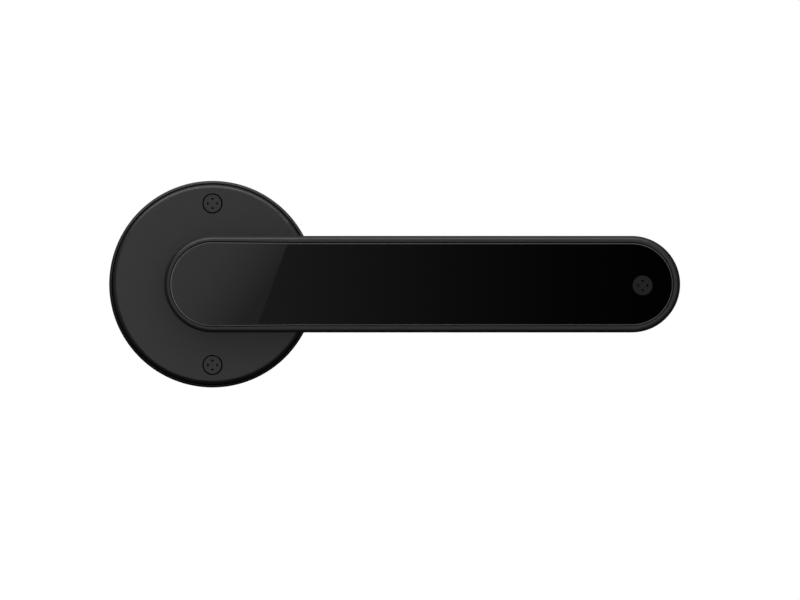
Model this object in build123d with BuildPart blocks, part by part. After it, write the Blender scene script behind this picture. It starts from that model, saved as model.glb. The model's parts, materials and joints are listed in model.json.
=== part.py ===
"""Keypad smart lock: a flat lever with a glass key panel on a round rose.

Units are millimetres, +Z is up.  The door face is the plane y = 0 and the lock stands out from it
towards -Y, so most heights below are distances out from the door.  The turning axis is the Y axis
and the lever points along +X.
"""
from math import atan2, cos, degrees, radians, sin, sqrt
import os

from build123d import *

os.makedirs("parts", exist_ok=True)

# ---------------------------------------------------------------- driving dimensions
# rose: the round base on the door
PLATE_R = 32.58  # mounting plate, the widest round piece
COVER_R = 31.45
COVER_WALL = 2.0
COVER_EDGE = 1.25
GASKET = 0.8
PLATE_FRONT = 4.6
STEP_FRONT = 6.4  # locating step that the cover's skirt fits over
STEP_R = 29.5
SHADOW_GAP_R = 31.8  # outer edge of the fine groove round the cover
SHADOW_GAP_DEPTH = 1.2
PLATE_EDGE = 0.72
POCKET_DEPTH = 2.4
COVER_BACK = 4.7
COVER_FRONT = 22.0
COVER_INSIDE = COVER_FRONT - COVER_WALL

# rose screws, above and below the lever
SCREW_Z = 25.46
SCREW_HEAD_R = 2.82
SCREW_RECESS_R = 3.20
SCREW_HEAD_EDGE = 0.06
SCREW_HEAD_BACK = 20.0
PILLAR_R = 4.0
PILLAR_FRONT = 16.8
M3_R = 1.45

# four-hole security drive shared by the rose screws and the panel screw
DRIVE_HOLE_W = 0.50
DRIVE_HOLE_L = 0.86
DRIVE_RING_R = 1.45
DRIVE_DEPTH = 1.3

# door fixing
BOLT_X = 19.0
BOLT_POST_R = 4.0
BOLT_POST_END = 18.0
BOLT_HOLE_R = 2.1
BOLT_HOLE_DEPTH = 15.0

# neck: the tube that carries the lever through the rose
NECK_R = 12.0
NECK_BORE_R = 7.1
KEY_R = 8.1
KEY_W = 3.0
NECK_BACK = -4.0
RUN_FIT = 0.05
BUSH_R = 13.6
FLANGE_R = 15.4

# lever: outline of two arcs joined by straight sides
LEVER_BACK = 37.0
LEVER_FRONT = 55.0
LEVER_R = 15.23
LEVER_X = 132.22
FLOOR = 38.8
LEDGE = 53.1
CAVITY_R = 12.2
LEVER_BACK_EDGE = 4.0
LEVER_FRONT_EDGE = 1.23
POCKET_EDGE = 0.13

# glass pocket: a little wider round the turning axis than along the arm
POCKET_R = 13.18
POCKET_WIDE_R = 13.50
POCKET_TAPER_X = 26.0
GLASS_GAP = 0.22
GLASS_BACK = 53.4
GLASS_FRONT = 54.9
GLASS_BEVEL = 0.31

# panel screw near the tip
TIP_SCREW_X = 135.6
TIP_SCREW_Z = -0.37
TIP_HEAD_R = 3.1
TIP_HEAD_GAP = 0.10
TIP_BOSS_R = 4.0

# key panel: plain windows in two rows
KEY_COLUMNS = 6
KEY_PITCH_X = 16.0
KEY_PITCH_Z = 11.0
KEY_FIRST_X = 32.0
KEY_WINDOW_R = 2.0

# cells, two in line in each of two rows
CELL_R = 5.25
CELL_L = 43.7
CELL_NUB = 0.8
CELL_Z = 5.7
CELL_OUT = 44.9
HOLDER_X0 = 36.0
HOLDER_X1 = 130.4

# lever travel and its stops
TURN_DEG = 45.0
STOP_RING_R = 21.0
STOP_PIN_R = 2.0
LUG_HALF_W = 3.6
LUG_R = 23.0
LUG_BACK = 14.4
LUG_FRONT = 17.2

# return spring
SPRING_R = 17.5
WIRE_R = 0.85
SPRING_BACK = 7.3
SPRING_TURNS = 3.19
SPRING_PITCH = 1.82
SPRING_LEG = 7.0
ANCHOR_R = 1.25


def out(distance):
    """Plane parallel to the door, this far out from it, facing away from the door."""
    return Plane.XZ.offset(distance)


def save(piece, name):
    """Label a finished piece and write its STEP file."""
    piece.part.label = name
    export_step(piece.part, f"parts/{name}.step")


def ring_point(radius, angle_deg):
    """Point at this radius and angle, counter-clockwise from +X as seen from the room."""
    return (radius * cos(radians(angle_deg)), radius * sin(radians(angle_deg)))


def panel_outline(inset):
    """Draw the glass pocket's outline moved inwards by inset, wide end at the turning axis."""
    wide = POCKET_WIDE_R - inset
    slim = POCKET_R - inset
    with BuildLine() as outline:
        Line((0, wide), (POCKET_TAPER_X, slim))
        Line((POCKET_TAPER_X, slim), (LEVER_X, slim))
        ThreePointArc((LEVER_X, slim), (LEVER_X + slim, 0), (LEVER_X, -slim))
        Line((LEVER_X, -slim), (POCKET_TAPER_X, -slim))
        Line((POCKET_TAPER_X, -slim), (0, -wide))
        ThreePointArc((0, -wide), (-wide, 0), (0, wide))
    make_face(outline.edges())


# ================================================================ rose
# door gasket: flat rubber ring against the door
with BuildPart() as door_gasket:
    with BuildSketch(out(0)):
        Circle(31.4)
        Circle(27.0, mode=Mode.SUBTRACT)
    extrude(amount=GASKET)
save(door_gasket, "door_gasket")

# mounting plate: cast disc with a locating step, two screw pillars and pockets between ribs behind
with BuildPart() as mounting_plate:
    with BuildSketch(out(GASKET)):
        Circle(PLATE_R)
    extrude(amount=PLATE_FRONT - GASKET)
    rim = mounting_plate.edges().filter_by(GeomType.CIRCLE).sort_by(Axis.Y)[0]
    fillet(rim, PLATE_EDGE)
    with BuildSketch(out(PLATE_FRONT)):
        Circle(SHADOW_GAP_R)
        Circle(COVER_R - 0.6, mode=Mode.SUBTRACT)
    extrude(amount=-SHADOW_GAP_DEPTH, mode=Mode.SUBTRACT)
    with BuildSketch(out(PLATE_FRONT)):
        Circle(STEP_R)
        Circle(STEP_R - 2.2, mode=Mode.SUBTRACT)
        Circle(BUSH_R + 3.4)
        for angle in (45, 135, 225, 315):
            with Locations(Location(ring_point(22.0, angle), angle)):
                Rectangle(12.0, 2.0)
    extrude(amount=STEP_FRONT - PLATE_FRONT - 1.4)
    with BuildSketch(out(PLATE_FRONT)):
        Circle(STEP_R)
        Circle(STEP_R - 2.2, mode=Mode.SUBTRACT)
    extrude(amount=STEP_FRONT - PLATE_FRONT)
    with BuildSketch(out(PLATE_FRONT)):
        with Locations((0, SCREW_Z), (0, -SCREW_Z)):
            Circle(PILLAR_R)
    extrude(amount=PILLAR_FRONT - PLATE_FRONT)
    with BuildSketch(out(GASKET)):
        Circle(BUSH_R)
        with Locations((BOLT_X, 0), (-BOLT_X, 0)):
            Circle(2.5)
    extrude(amount=STEP_FRONT, mode=Mode.SUBTRACT)
    with BuildSketch(out(PILLAR_FRONT)):
        with Locations((0, SCREW_Z), (0, -SCREW_Z)):
            Circle(M3_R)
    extrude(amount=-10.0, mode=Mode.SUBTRACT)
    with BuildSketch(out(GASKET)):
        Circle(26.4)
        Circle(BUSH_R + 2.4, mode=Mode.SUBTRACT)
        with Locations((BOLT_X, 0), (-BOLT_X, 0)):
            Circle(6.4, mode=Mode.SUBTRACT)
        with Locations((0, SCREW_Z), (0, -SCREW_Z)):
            Circle(5.2, mode=Mode.SUBTRACT)
        for angle in (22.5, 45, 67.5, 112.5, 135, 157.5):
            Rectangle(60.0, 1.6, rotation=angle, mode=Mode.SUBTRACT)
    extrude(amount=POCKET_DEPTH, mode=Mode.SUBTRACT)
save(mounting_plate, "mounting_plate")

# bolt posts: tapped studs riveted to the plate, reaching into the door
with BuildPart() as bolt_posts:
    with BuildSketch(out(GASKET)):
        with Locations((BOLT_X, 0), (-BOLT_X, 0)):
            Circle(BOLT_POST_R)
    extrude(amount=-(BOLT_POST_END + GASKET))
    tips = bolt_posts.edges().filter_by(GeomType.CIRCLE).group_by(Axis.Y)[-1]
    chamfer(tips, 0.5)
    with BuildSketch(out(GASKET)):
        with Locations((BOLT_X, 0), (-BOLT_X, 0)):
            Circle(2.5)
    extrude(amount=PLATE_FRONT - GASKET)
    with BuildSketch(out(-BOLT_POST_END)):
        with Locations((BOLT_X, 0), (-BOLT_X, 0)):
            Circle(BOLT_HOLE_R)
    extrude(amount=BOLT_HOLE_DEPTH, mode=Mode.SUBTRACT)
save(bolt_posts, "bolt_posts")

# rear bush: plain bearing for the neck in the plate
with BuildPart() as rear_bush:
    with BuildSketch(out(GASKET)):
        Circle(BUSH_R)
    extrude(amount=5.0 - GASKET)
    with BuildSketch(out(5.0)):
        Circle(FLANGE_R)
    extrude(amount=1.0)
    with BuildSketch(out(GASKET)):
        Circle(NECK_R + RUN_FIT)
    extrude(amount=6.0, mode=Mode.SUBTRACT)
save(rear_bush, "rear_bush")

# rose cover: drawn cup with a soft front edge, a neck hole and two screw recesses
with BuildPart() as rose_cover:
    with BuildSketch(out(COVER_BACK)):
        Circle(COVER_R)
    extrude(amount=COVER_FRONT - COVER_BACK)
    front_edge = rose_cover.edges().filter_by(GeomType.CIRCLE).sort_by(Axis.Y)[0]
    fillet(front_edge, COVER_EDGE)
    with BuildSketch(out(COVER_BACK)):
        Circle(STEP_R + 0.1)
    extrude(amount=COVER_INSIDE - COVER_BACK, mode=Mode.SUBTRACT)
    with BuildSketch(out(PILLAR_FRONT + 0.1)):
        with Locations((0, SCREW_Z), (0, -SCREW_Z)):
            Circle(4.9)
    extrude(amount=COVER_INSIDE - PILLAR_FRONT - 0.1)
    with BuildSketch(out(COVER_FRONT)):
        with Locations((0, SCREW_Z), (0, -SCREW_Z)):
            Circle(SCREW_RECESS_R)
    extrude(amount=-(COVER_FRONT - SCREW_HEAD_BACK), mode=Mode.SUBTRACT)
    with BuildSketch(out(SCREW_HEAD_BACK)):
        with Locations((0, SCREW_Z), (0, -SCREW_Z)):
            Circle(1.7)
    extrude(amount=-5.0, mode=Mode.SUBTRACT)
    with BuildSketch(out(COVER_FRONT)):
        Circle(BUSH_R)
    extrude(amount=-4.0, mode=Mode.SUBTRACT)
save(rose_cover, "rose_cover")

# rose screws: countersunk-flush heads with four small drive holes
with BuildPart() as rose_screws:
    with BuildSketch(out(SCREW_HEAD_BACK)):
        with Locations((0, SCREW_Z), (0, -SCREW_Z)):
            Circle(SCREW_HEAD_R)
    extrude(amount=COVER_FRONT - 0.1 - SCREW_HEAD_BACK)
    head_edges = rose_screws.edges().filter_by(GeomType.CIRCLE).group_by(Axis.Y)[0]
    chamfer(head_edges, SCREW_HEAD_EDGE)
    with BuildSketch(out(SCREW_HEAD_BACK)):
        with Locations((0, SCREW_Z), (0, -SCREW_Z)):
            Circle(M3_R)
    extrude(amount=-11.0)
    for z in (SCREW_Z, -SCREW_Z):
        with BuildSketch(out(COVER_FRONT - 0.1)):
            with Locations((0, z)):
                with PolarLocations(DRIVE_RING_R, 4):
                    SlotOverall(DRIVE_HOLE_L, DRIVE_HOLE_W, rotation=90)
        extrude(amount=-DRIVE_DEPTH, mode=Mode.SUBTRACT)
save(rose_screws, "rose_screws")

# neck bush: flanged bearing behind the cover's neck hole
with BuildPart() as neck_bush:
    with BuildSketch(out(COVER_INSIDE - 1.6)):
        Circle(FLANGE_R)
    extrude(amount=1.6)
    with BuildSketch(out(COVER_INSIDE)):
        Circle(BUSH_R)
    extrude(amount=0.8)
    with BuildSketch(out(COVER_INSIDE - 1.6)):
        Circle(NECK_R + RUN_FIT)
    extrude(amount=3.0, mode=Mode.SUBTRACT)
save(neck_bush, "neck_bush")

# neck seal: soft ring that keeps rain out of the rose
with BuildPart() as neck_seal:
    with BuildSketch(out(COVER_INSIDE + 0.8)):
        Circle(BUSH_R)
        Circle(NECK_R + RUN_FIT, mode=Mode.SUBTRACT)
    extrude(amount=COVER_FRONT - COVER_INSIDE - 0.8)
save(neck_seal, "neck_seal")

# stop pins: two posts that limit the lever's travel
lug_half_deg = degrees(atan2(LUG_HALF_W, sqrt(STOP_RING_R**2 - LUG_HALF_W**2)))
pin_half_deg = degrees(2 * atan2(STOP_PIN_R / 2, STOP_RING_R))
stop_gap_deg = lug_half_deg + pin_half_deg + 0.6
rest_pin = ring_point(STOP_RING_R, 180 + stop_gap_deg)
full_pin = ring_point(STOP_RING_R, 180 - TURN_DEG - stop_gap_deg)
with BuildPart() as stop_pins:
    with BuildSketch(out(PLATE_FRONT)):
        with Locations(rest_pin, full_pin):
            Circle(STOP_PIN_R)
    extrude(amount=LUG_FRONT - PLATE_FRONT + 0.4)
    pin_tops = stop_pins.edges().filter_by(GeomType.CIRCLE).group_by(Axis.Y)[0]
    chamfer(pin_tops, 0.4)
save(stop_pins, "stop_pins")

# return spring: round-wire torsion coil with two tangent legs
spring_height = SPRING_TURNS * SPRING_PITCH
with BuildPart() as return_spring:
    with BuildLine() as spring_wire:
        coil = Helix(
            SPRING_PITCH, spring_height, SPRING_R, center=(0, -SPRING_BACK, 0), direction=(0, -1, 0), lefthand=True
        )
        back_dir = coil % 0
        front_dir = coil % 1
        back_leg = Line(coil @ 0 - back_dir * SPRING_LEG, coil @ 0)
        front_leg = Line(coil @ 1, coil @ 1 + front_dir * SPRING_LEG)
    with BuildSketch(Plane(origin=back_leg @ 0, z_dir=back_dir)):
        Circle(WIRE_R)
    sweep(path=spring_wire.line, is_frenet=True)
save(return_spring, "return_spring")

# spring anchor pin: holds the spring's back leg
leg_tip = back_leg @ 0
anchor_x = leg_tip.X - 1.5
anchor_z = leg_tip.Z - WIRE_R - ANCHOR_R - 0.1
with BuildPart() as spring_anchor_pin:
    with BuildSketch(out(PLATE_FRONT)):
        with Locations((anchor_x, anchor_z)):
            Circle(ANCHOR_R)
    extrude(amount=6.4)
save(spring_anchor_pin, "spring_anchor_pin")

# ================================================================ neck and lever drive
# neck sleeve: carries the lever, turns in the two bushes and has two inner key grooves
with BuildPart() as neck_sleeve:
    with BuildSketch(out(NECK_BACK)):
        Circle(NECK_R)
    extrude(amount=LEVER_BACK - NECK_BACK)
    with BuildSketch(out(LEVER_BACK)):
        Circle(8.8)
    extrude(amount=FLOOR - LEVER_BACK)
    with BuildSketch(out(NECK_BACK)):
        Circle(NECK_BORE_R)
        Rectangle(2 * KEY_R, KEY_W)
    extrude(amount=FLOOR - NECK_BACK, mode=Mode.SUBTRACT)
    with BuildSketch(out(-1.6)):
        Circle(NECK_R + 1)
        Circle(11.2, mode=Mode.SUBTRACT)
    extrude(amount=1.0, mode=Mode.SUBTRACT)
    with BuildSketch(out(LEVER_BACK)):
        with PolarLocations(10.35, 4, start_angle=45):
            Circle(0.95)
    extrude(amount=-8.0, mode=Mode.SUBTRACT)
save(neck_sleeve, "neck_sleeve")

# thrust washer: behind the plate, takes the pull on the lever
with BuildPart() as thrust_washer:
    with BuildSketch(out(-0.6)):
        Circle(14.4)
        Circle(NECK_R + 0.1, mode=Mode.SUBTRACT)
    extrude(amount=1.1)
save(thrust_washer, "thrust_washer")

# retaining ring: open circlip in the neck's groove
with BuildPart() as retaining_ring:
    with BuildSketch(out(-1.6)):
        Circle(13.6)
        Circle(11.2, mode=Mode.SUBTRACT)
        with Locations((0, -13.0)):
            Rectangle(7.0, 7.0, mode=Mode.SUBTRACT)
        with Locations((4.4, -12.6), (-4.4, -12.6)):
            Circle(1.9)
        with Locations((4.4, -12.6), (-4.4, -12.6)):
            Circle(0.8, mode=Mode.SUBTRACT)
    extrude(amount=1.0)
    with BuildSketch(out(-1.6)):
        Circle(11.2)
    extrude(amount=1.0, mode=Mode.SUBTRACT)
save(retaining_ring, "retaining_ring")

# drive collar: pinned on the neck, with the stop lug and the spring peg
with BuildPart() as drive_collar:
    with BuildSketch(out(6.3)):
        Circle(15.2)
    extrude(amount=LUG_FRONT - 6.3)
    with BuildSketch(out(LUG_BACK)):
        with Locations((-LUG_R / 2, 0)):
            Rectangle(LUG_R, 2 * LUG_HALF_W)
    extrude(amount=LUG_FRONT - LUG_BACK)
    with BuildSketch(out(LUG_BACK)):
        with Locations((-21.7, 0)):
            Rectangle(2.6, 5.0)
    extrude(amount=-3.0)
    lug_corners = drive_collar.edges().filter_by(Axis.Y).sort_by(Axis.X)[0:2]
    fillet(lug_corners, 1.0)
    with BuildSketch(out(6.3)):
        Circle(NECK_R)
    extrude(amount=LUG_FRONT - 6.3, mode=Mode.SUBTRACT)
save(drive_collar, "drive_collar")

# ================================================================ clutch
# clutch motor: small round gear motor lying in the neck
with BuildPart() as clutch_motor:
    with BuildSketch(out(24.0)):
        Circle(6.0)
    extrude(amount=16.0)
    with BuildSketch(out(24.0)):
        Circle(2.1)
    extrude(amount=-0.9)
    with BuildSketch(out(40.0)):
        with Locations((0, 2.6), (0, -2.6)):
            Rectangle(1.8, 0.5)
    extrude(amount=1.2)
    with BuildSketch(out(30.0)):
        Circle(6.5)
        Circle(5.7, mode=Mode.SUBTRACT)
    extrude(amount=0.5, mode=Mode.SUBTRACT)
    with BuildSketch(out(23.1)):
        Circle(1.1)
    extrude(amount=3.0, mode=Mode.SUBTRACT)
save(clutch_motor, "clutch_motor")

# motor mount: sleeve with two keys that hold the motor in the neck
with BuildPart() as motor_mount:
    with BuildSketch(out(21.6)):
        Circle(7.05)
        Rectangle(15.9, 2.8)
    extrude(amount=FLOOR - 21.6)
    with BuildSketch(out(FLOOR)):
        Circle(7.6)
    extrude(amount=0.6)
    with BuildSketch(out(24.0)):
        Circle(6.0)
    extrude(amount=16.0, mode=Mode.SUBTRACT)
    with BuildSketch(out(21.6)):
        Circle(2.2)
    extrude(amount=3.0, mode=Mode.SUBTRACT)
save(motor_mount, "motor_mount")

# clutch screw: threaded shaft turned by the motor
with BuildPart() as clutch_screw:
    with BuildSketch(out(10.6)):
        Circle(1.5)
    extrude(amount=12.2)
    start_edge = clutch_screw.edges().filter_by(GeomType.CIRCLE).sort_by(Axis.Y)[-1]
    chamfer(start_edge, 0.4)
    with BuildSketch(out(22.8)):
        Circle(1.05)
    extrude(amount=2.7)
    with BuildSketch(out(18.9)):
        Circle(1.6)
        Circle(1.2, mode=Mode.SUBTRACT)
    extrude(amount=0.5, mode=Mode.SUBTRACT)
save(clutch_screw, "clutch_screw")

# clutch slider: keyed nut whose dog drops into the spindle hub
with BuildPart() as clutch_slider:
    with BuildSketch(out(9.4)):
        Circle(NECK_BORE_R - RUN_FIT)
        Rectangle(2 * KEY_R - 0.2, KEY_W - 0.2)
    extrude(amount=7.4)
    with BuildSketch(out(9.4)):
        Rectangle(4.0, 12.0)
    extrude(amount=-2.5)
    with BuildSketch(out(6.9)):
        Circle(1.55)
    extrude(amount=9.9, mode=Mode.SUBTRACT)
save(clutch_slider, "clutch_slider")

# spindle hub: turns the latch, with a cross slot for the dog and a square socket
with BuildPart() as spindle_hub:
    with BuildSketch(out(-6.5)):
        Circle(10.5)
    extrude(amount=2.2)
    with BuildSketch(out(-4.3)):
        Circle(NECK_BORE_R - RUN_FIT)
    extrude(amount=13.3)
    with BuildSketch(out(4.0)):
        Rectangle(4.2, 16.0)
    extrude(amount=5.0, mode=Mode.SUBTRACT)
    with BuildSketch(out(-6.5)):
        Rectangle(8.0, 8.0)
    extrude(amount=8.5, mode=Mode.SUBTRACT)
    with BuildSketch(Plane.XY.offset(-11.0)):
        with Locations((0, 5.4)):
            Circle(0.75)
    extrude(amount=22.0, mode=Mode.SUBTRACT)
save(spindle_hub, "spindle_hub")

# spindle: 8 mm square bar to the latch
with BuildPart() as spindle:
    with BuildSketch(out(-35.0)):
        Rectangle(8.0, 8.0)
    extrude(amount=36.8)
    bar_end = spindle.faces().sort_by(Axis.Y)[-1]
    chamfer(bar_end.edges(), 0.8)
    with BuildSketch(Plane.XY.offset(-11.0)):
        with Locations((0, 5.4)):
            Circle(0.75)
    extrude(amount=22.0, mode=Mode.SUBTRACT)
save(spindle, "spindle")

# spindle pin: cross pin that keeps the bar in the hub
with BuildPart() as spindle_pin:
    with BuildSketch(Plane.XY.offset(-10.2)):
        with Locations((0, 5.4)):
            Circle(0.75)
    extrude(amount=20.4)
save(spindle_pin, "spindle_pin")

# ================================================================ lever
# lever shell: cast tray with rounded back, soft front edge and a stepped opening for the glass
with BuildPart() as lever_shell:
    with BuildSketch(out(LEVER_BACK)):
        with Locations((LEVER_X / 2, 0)):
            SlotCenterToCenter(LEVER_X, 2 * LEVER_R)
    extrude(amount=LEVER_FRONT - LEVER_BACK)
    back_rim = lever_shell.faces().sort_by(Axis.Y)[-1].edges()
    fillet(back_rim, LEVER_BACK_EDGE)
    front_rim = lever_shell.faces().sort_by(Axis.Y)[0].edges()
    fillet(front_rim, LEVER_FRONT_EDGE)
    with BuildSketch(out(LEDGE)):
        panel_outline(0)
    extrude(amount=LEVER_FRONT - LEDGE, mode=Mode.SUBTRACT)
    pocket_rim = lever_shell.faces().sort_by(Axis.Y)[0].inner_wires()[0].edges()
    chamfer(pocket_rim, POCKET_EDGE)
    with BuildSketch(out(FLOOR)):
        with Locations((LEVER_X / 2, 0)):
            SlotCenterToCenter(LEVER_X, 2 * CAVITY_R)
    extrude(amount=LEDGE - FLOOR, mode=Mode.SUBTRACT)
    with BuildSketch(out(FLOOR)):
        with Locations((TIP_SCREW_X, TIP_SCREW_Z)):
            Circle(TIP_BOSS_R)
    extrude(amount=50.4 - FLOOR)
    with BuildSketch(out(FLOOR)):
        with Locations((28.5, 8.0), (28.5, -8.0)):
            Circle(2.2)
    extrude(amount=48.0 - FLOOR)
    with BuildSketch(out(50.4)):
        with Locations((TIP_SCREW_X, TIP_SCREW_Z)):
            Circle(2.4)
    extrude(amount=-9.0, mode=Mode.SUBTRACT)
    with BuildSketch(out(48.0)):
        with Locations((28.5, 8.0), (28.5, -8.0)):
            Circle(0.95)
    extrude(amount=-6.0, mode=Mode.SUBTRACT)
    with BuildSketch(out(LEVER_BACK)):
        Circle(8.8)
        with PolarLocations(10.35, 4, start_angle=45):
            Circle(1.1)
    extrude(amount=FLOOR - LEVER_BACK, mode=Mode.SUBTRACT)
save(lever_shell, "lever_shell")

# neck screws: four pan heads inside the lever, threaded into the neck
with BuildPart() as neck_screws:
    with BuildSketch(out(FLOOR)):
        with PolarLocations(10.35, 4, start_angle=45):
            Circle(1.7)
    extrude(amount=1.2)
    with BuildSketch(out(FLOOR)):
        with PolarLocations(10.35, 4, start_angle=45):
            Circle(0.95)
    extrude(amount=-8.5)
    with BuildSketch(out(FLOOR + 1.2)):
        with PolarLocations(10.35, 4, start_angle=45):
            RegularPolygon(0.75, 6)
    extrude(amount=-0.8, mode=Mode.SUBTRACT)
save(neck_screws, "neck_screws")

# tip insert: brass thread for the panel screw
with BuildPart() as tip_insert:
    with BuildSketch(out(42.0)):
        with Locations((TIP_SCREW_X, TIP_SCREW_Z)):
            Circle(2.4)
            Circle(M3_R, mode=Mode.SUBTRACT)
    extrude(amount=8.4)
save(tip_insert, "tip_insert")

# glass panel: bevelled all round, flush in the frame, one hole for the panel screw
with BuildPart() as glass_panel:
    with BuildSketch(out(GLASS_BACK)):
        panel_outline(GLASS_GAP)
    extrude(amount=GLASS_FRONT - GLASS_BACK)
    glass_rim = glass_panel.faces().sort_by(Axis.Y)[0].edges()
    chamfer(glass_rim, GLASS_BEVEL)
    with BuildSketch(out(GLASS_BACK)):
        with Locations((TIP_SCREW_X, TIP_SCREW_Z)):
            Circle(TIP_HEAD_R + TIP_HEAD_GAP)
    extrude(amount=GLASS_FRONT - GLASS_BACK, mode=Mode.SUBTRACT)
save(glass_panel, "glass_panel")

# glass gasket: thin bonding frame between the ledge and the glass
with BuildPart() as glass_gasket:
    with BuildSketch(out(LEDGE)):
        panel_outline(GLASS_GAP + 0.1)
        with Locations((LEVER_X / 2, 0)):
            SlotCenterToCenter(LEVER_X, 2 * (CAVITY_R + 0.1), mode=Mode.SUBTRACT)
    extrude(amount=GLASS_BACK - LEDGE)
save(glass_gasket, "glass_gasket")

# light mask: keeps each key's light apart
with BuildPart() as light_mask:
    with BuildSketch(out(52.6)):
        with Locations((LEVER_X / 2, 0)):
            SlotCenterToCenter(LEVER_X, 2 * 12.0)
        with Locations((KEY_FIRST_X + KEY_PITCH_X * (KEY_COLUMNS - 1) / 2, 0)):
            with GridLocations(KEY_PITCH_X, KEY_PITCH_Z, KEY_COLUMNS, 2):
                Circle(KEY_WINDOW_R, mode=Mode.SUBTRACT)
        with Locations((TIP_SCREW_X, TIP_SCREW_Z)):
            Circle(1.7, mode=Mode.SUBTRACT)
    extrude(amount=0.6)
save(light_mask, "light_mask")

# key lights: one small lamp behind each window
with BuildPart() as key_lights:
    with BuildSketch(out(52.5)):
        with Locations((KEY_FIRST_X + KEY_PITCH_X * (KEY_COLUMNS - 1) / 2, 0)):
            with GridLocations(KEY_PITCH_X, KEY_PITCH_Z, KEY_COLUMNS, 2):
                Rectangle(1.6, 1.2)
    extrude(amount=0.4)
save(key_lights, "key_lights")

# touch board: circuit board that senses the fingers
with BuildPart() as touch_board:
    with BuildSketch(out(51.7)):
        with Locations((LEVER_X / 2, 0)):
            SlotCenterToCenter(LEVER_X, 2 * 11.9)
        with Locations((TIP_SCREW_X, TIP_SCREW_Z)):
            Circle(1.7, mode=Mode.SUBTRACT)
    extrude(amount=0.8)
save(touch_board, "touch_board")

# panel tray: plastic carrier under the touch board, with a slot for the flat cable
with BuildPart() as panel_tray:
    with BuildSketch(out(50.5)):
        with Locations((LEVER_X / 2, 0)):
            SlotCenterToCenter(LEVER_X, 2 * 12.1)
        with Locations((TIP_SCREW_X, TIP_SCREW_Z)):
            Circle(1.7, mode=Mode.SUBTRACT)
        with Locations((-2.9, 0)):
            Rectangle(1.6, 9.4, mode=Mode.SUBTRACT)
    extrude(amount=1.1)
save(panel_tray, "panel_tray")

# panel screw: flush four-hole head near the tip, threaded into the brass insert
with BuildPart() as panel_screw:
    with BuildSketch(out(LEDGE + 0.2)):
        with Locations((TIP_SCREW_X, TIP_SCREW_Z)):
            Circle(TIP_HEAD_R)
    extrude(amount=GLASS_FRONT - LEDGE - 0.2)
    with BuildSketch(out(LEDGE + 0.2)):
        with Locations((TIP_SCREW_X, TIP_SCREW_Z)):
            Circle(M3_R)
    extrude(amount=-9.0)
    with BuildSketch(out(GLASS_FRONT)):
        with Locations((TIP_SCREW_X, TIP_SCREW_Z)):
            with PolarLocations(DRIVE_RING_R, 4):
                SlotOverall(DRIVE_HOLE_L, DRIVE_HOLE_W, rotation=90)
    extrude(amount=-DRIVE_DEPTH, mode=Mode.SUBTRACT)
save(panel_screw, "panel_screw")

# controller board: main electronics over the neck
with BuildPart() as controller_board:
    with BuildSketch(out(48.0)):
        with Locations((11.0, 0)):
            SlotCenterToCenter(22.0, 22.0)
        with Locations((29.0, 0)):
            Rectangle(9.0, 22.0)
        with Locations((28.5, 8.0), (28.5, -8.0)):
            Circle(1.1, mode=Mode.SUBTRACT)
    extrude(amount=1.0)
save(controller_board, "controller_board")

# board chips: processor, radio module and driver on the board's back
with BuildPart() as board_chips:
    with BuildSketch(out(48.0)):
        with Locations((-4.0, 0)):
            Rectangle(7.0, 7.0)
    extrude(amount=-1.0)
    with BuildSketch(out(48.0)):
        with Locations((9.0, -6.4)):
            Rectangle(11.0, 7.0)
    extrude(amount=-1.8)
    with BuildSketch(out(48.0)):
        with Locations((9.0, 7.0)):
            Rectangle(5.0, 4.0)
    extrude(amount=-1.1)
save(board_chips, "board_chips")

# board screws: hold the controller board on its two posts
with BuildPart() as board_screws:
    with BuildSketch(out(49.0)):
        with Locations((28.5, 8.0), (28.5, -8.0)):
            Circle(1.8)
    extrude(amount=1.1)
    with BuildSketch(out(49.0)):
        with Locations((28.5, 8.0), (28.5, -8.0)):
            Circle(0.95)
    extrude(amount=-6.0)
save(board_screws, "board_screws")

# buzzer: small sounder on the board's back
with BuildPart() as buzzer:
    with BuildSketch(out(48.0)):
        with Locations((20.5, 0)):
            Circle(4.5)
    extrude(amount=-3.2)
    with BuildSketch(out(44.8)):
        with Locations((20.5, 0)):
            Circle(0.8)
    extrude(amount=1.0, mode=Mode.SUBTRACT)
save(buzzer, "buzzer")

# flat cable: from the controller board up to the touch board
with BuildPart() as flat_cable:
    with BuildSketch(Plane.XY.offset(-4.0)):
        with BuildLine():
            Polyline((3.5, -49.0), (3.5, -49.3), (-2.7, -49.3), (-2.7, -51.7), (-3.0, -51.7), (-3.0, -49.0), close=True)
        make_face()
    extrude(amount=8.0)
save(flat_cable, "flat_cable")

# motor leads: two short wires from the motor to the board
with BuildPart() as motor_leads:
    with BuildSketch(out(41.2)):
        with Locations((0, 2.6), (0, -2.6)):
            Circle(0.5)
    extrude(amount=6.8)
save(motor_leads, "motor_leads")

# battery holder: cradle with end walls for four cells
with BuildPart() as battery_holder:
    with BuildSketch(out(39.0)):
        with Locations(((HOLDER_X0 + HOLDER_X1) / 2, 0)):
            Rectangle(HOLDER_X1 - HOLDER_X0, 24.0)
    extrude(amount=7.4)
    with BuildSketch(Plane.YZ.offset(HOLDER_X0 + 1.2)):
        with Locations((-CELL_OUT, CELL_Z), (-CELL_OUT, -CELL_Z)):
            Circle(CELL_R + 0.1)
    extrude(amount=HOLDER_X1 - HOLDER_X0 - 2.4, mode=Mode.SUBTRACT)
    for pocket_x in (HOLDER_X0 + 1.2, HOLDER_X1 - 1.7):
        with BuildSketch(Plane.YZ.offset(pocket_x)):
            with Locations((-CELL_OUT + 0.8, 0)):
                Rectangle(7.2, 20.0)
        extrude(amount=0.5, mode=Mode.SUBTRACT)
    with BuildSketch(out(39.0)):
        with Locations((60.0, CELL_Z), (60.0, -CELL_Z), (106.0, CELL_Z), (106.0, -CELL_Z)):
            SlotOverall(24.0, 5.0)
    extrude(amount=3.0, mode=Mode.SUBTRACT)
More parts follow.
